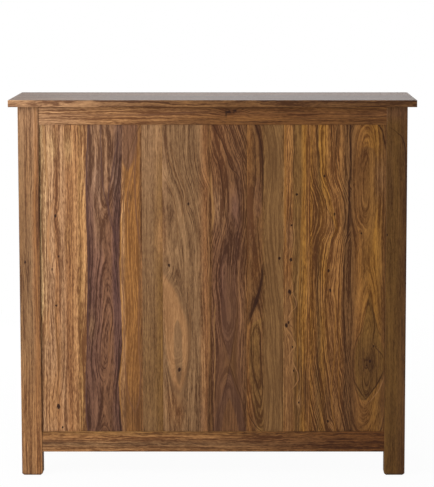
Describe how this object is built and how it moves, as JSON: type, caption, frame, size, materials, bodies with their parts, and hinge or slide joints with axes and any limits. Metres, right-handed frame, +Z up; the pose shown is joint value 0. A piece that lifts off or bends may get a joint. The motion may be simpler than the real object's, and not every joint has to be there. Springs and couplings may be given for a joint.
{
  "type": "bar counter",
  "caption": "Solid wood bar counter with an upright plank front, overhanging top, drawers, a door cupboard and an open bay with shelves on the serving side.",
  "frame": {"origin": "on the floor, under the middle of the top board", "axes": "+X to the customer's right along the counter, -Y towards the customer, +Y towards the bartender, +Z up"},
  "size_m": [1.17, 0.4, 1.1],
  "materials": {
    "aged_brass": "dark aged, lightly polished by use",
    "black_plastic": "moulded, fine matt",
    "drawer_wood": "planed, thin lacquer",
    "hinge_brass": "satin plated",
    "plywood": "sanded, thin lacquer",
    "runner_wood": "planed, waxed",
    "sheesham_board_1": "satin lacquer over solid sheesham",
    "sheesham_board_2": "satin lacquer over solid sheesham",
    "sheesham_board_3": "satin lacquer over solid sheesham",
    "sheesham_board_4": "satin lacquer over solid sheesham",
    "sheesham_board_5": "satin lacquer over solid sheesham",
    "sheesham_board_6": "satin lacquer over solid sheesham",
    "sheesham_board_7": "satin lacquer over solid sheesham",
    "sheesham_board_8": "satin lacquer over solid sheesham",
    "sheesham_board_9": "satin lacquer over solid sheesham",
    "sheesham_frame": "satin lacquer over solid sheesham",
    "sheesham_fronts": "satin lacquer over solid sheesham",
    "sheesham_inside": "satin lacquer over solid sheesham",
    "sheesham_sides": "satin lacquer over solid sheesham",
    "sheesham_top": "satin lacquer over solid sheesham",
    "zinc_steel": "zinc plated"
  },
  "bodies": {
    "carcase": {"bottom_board": "sheesham_inside", "carcase_screws": "zinc_steel", "catch_magnet": "black_plastic", "centre_partition": "sheesham_inside", "cupboard_shelf": "sheesham_inside", "front_board_1": "sheesham_board_1", "front_board_2": "sheesham_board_2", "front_board_3": "sheesham_board_3", "front_board_4": "sheesham_board_4", "front_board_5": "sheesham_board_5", "front_board_6": "sheesham_board_6", "front_board_7": "sheesham_board_7", "front_board_8": "sheesham_board_8", "front_board_9": "sheesham_board_9", "front_bottom_rail": "sheesham_frame", "front_left_post": "sheesham_frame", "front_right_post": "sheesham_frame", "front_top_rail": "sheesham_frame", "hinge_pins": "hinge_brass", "left_drawer_runners": "runner_wood", "left_side_board_1": "sheesham_sides", "left_side_board_2": "sheesham_sides", "left_side_bottom_rail": "sheesham_frame", "left_side_top_rail": "sheesham_frame", "open_bay_shelf": "sheesham_inside", "post_hinge_leaves": "hinge_brass", "rear_bottom_rail": "sheesham_frame", "rear_left_post": "sheesham_frame", "rear_middle_rail": "sheesham_frame", "rear_right_post": "sheesham_frame", "rear_top_rail": "sheesham_frame", "right_drawer_runners": "runner_wood", "right_side_board_1": "sheesham_sides", "right_side_board_2": "sheesham_sides", "right_side_bottom_rail": "sheesham_frame", "right_side_top_rail": "sheesham_frame", "shelf_pins": "zinc_steel", "top_board": "sheesham_top", "top_brackets": "zinc_steel"},
    "left_drawer": {"left_drawer_back": "drawer_wood", "left_drawer_bottom": "plywood", "left_drawer_front": "sheesham_fronts", "left_drawer_inner_side": "drawer_wood", "left_drawer_knob": "aged_brass", "left_drawer_outer_side": "drawer_wood"},
    "right_drawer": {"right_drawer_back": "drawer_wood", "right_drawer_bottom": "plywood", "right_drawer_front": "sheesham_fronts", "right_drawer_inner_side": "drawer_wood", "right_drawer_knob": "aged_brass", "right_drawer_outer_side": "drawer_wood"},
    "cupboard_door": {"door_bottom_rail": "sheesham_fronts", "door_hinge_leaves": "hinge_brass", "door_hinge_stile": "sheesham_fronts", "door_knob": "aged_brass", "door_latch_stile": "sheesham_fronts", "door_panel": "sheesham_fronts", "door_screws": "zinc_steel", "door_strike_plate": "zinc_steel", "door_top_rail": "sheesham_fronts"}
  },
  "joints": [
    {"name": "left_drawer_slide", "type": "slide", "parent": "carcase", "child": "left_drawer", "axis": [0, 1, 0], "range_m": [0, 0.2]},
    {"name": "right_drawer_slide", "type": "slide", "parent": "carcase", "child": "right_drawer", "axis": [0, 1, 0], "range_m": [0, 0.2]},
    {"name": "cupboard_door_hinge", "type": "hinge", "parent": "carcase", "child": "cupboard_door", "pos_m": [0.4975, 0.1805, 0.524], "axis": [0, 0, -1], "range_deg": [0, 115]}
  ]
}
